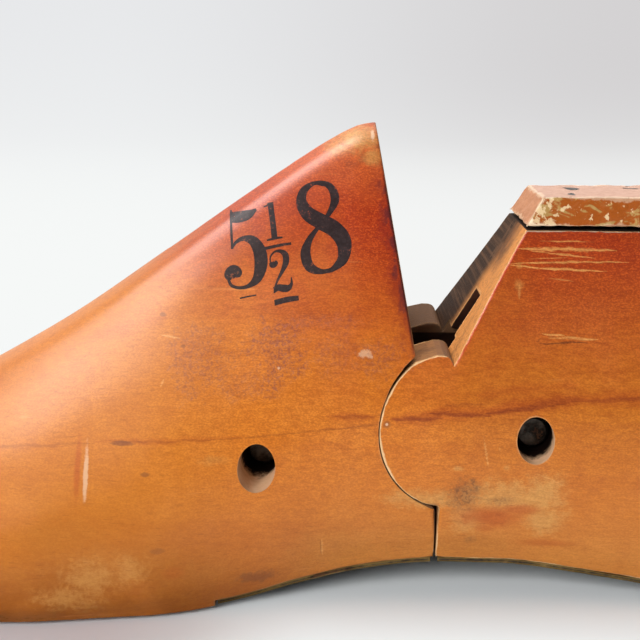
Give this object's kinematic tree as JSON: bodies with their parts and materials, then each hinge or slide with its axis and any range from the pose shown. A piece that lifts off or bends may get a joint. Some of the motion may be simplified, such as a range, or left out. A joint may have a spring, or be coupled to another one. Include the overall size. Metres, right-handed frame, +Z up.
{
  "type": "shoe last",
  "caption": "Hinged wooden shoe last for a right shoe, with a V cut over a round hinge, a leather cap with a jack socket, iron sole plates and a hidden sprung link.",
  "frame": {"origin": "on the surface that the last stands on, under the middle of its length and width", "axes": "+X from the toe to the heel, +Z up, -Y to the inner side of the foot (the side the picture shows)"},
  "size_m": [0.2219, 0.0745, 0.0873],
  "materials": {
    "maple": "amber shellac, worn at the edges",
    "cap_leather": "raw cut sole leather",
    "sole_iron": "dull dark iron plate",
    "pin_steel": "dull drawn rod",
    "thimble_steel": "dull drawn tube",
    "link_steel": "plain bent strip and wire",
    "nail_iron": "filed flush, dark"
  },
  "bodies": {
    "forepart": {"forepart_block": "maple", "front_pin": "pin_steel", "forepart_sole_plate": "sole_iron", "shank_plate_nail_1": "nail_iron", "shank_plate_nail_2": "nail_iron", "shank_plate_nail_3": "nail_iron", "shank_plate_nail_4": "nail_iron"},
    "heel": {"heel_block": "maple", "rear_pin": "pin_steel", "heel_sole_plate": "sole_iron", "heel_plate_nail_1": "nail_iron", "heel_plate_nail_2": "nail_iron", "heel_plate_nail_3": "nail_iron", "heel_plate_nail_4": "nail_iron", "heel_plate_nail_5": "nail_iron", "heel_plate_nail_6": "nail_iron", "heel_plate_nail_7": "nail_iron", "top_cap": "cap_leather", "cap_nail_1": "nail_iron", "cap_nail_2": "nail_iron", "cap_nail_3": "nail_iron", "cap_nail_4": "nail_iron", "cap_nail_5": "nail_iron", "cap_nail_6": "nail_iron", "cap_nail_7": "nail_iron", "jack_thimble": "thimble_steel"},
    "link": {"link_strap": "link_steel", "spring_saddle": "link_steel", "link_spring": "link_steel"}
  },
  "joints": [
    {"name": "heel_hinge", "type": "hinge", "parent": "forepart", "child": "heel", "pos_m": [0.0255, 0, 0.0338], "axis": [0, -1, 0], "range_deg": [0, 32]},
    {"name": "link_pivot", "type": "hinge", "parent": "forepart", "child": "link", "pos_m": [-0.0106, -0.0025, 0.0286], "axis": [0, -1, 0], "range_deg": [0, 8.7]}
  ],
  "couplings": [
    {"joint": "link_pivot", "follows": "heel_hinge", "ratio": 0.2705}
  ]
}
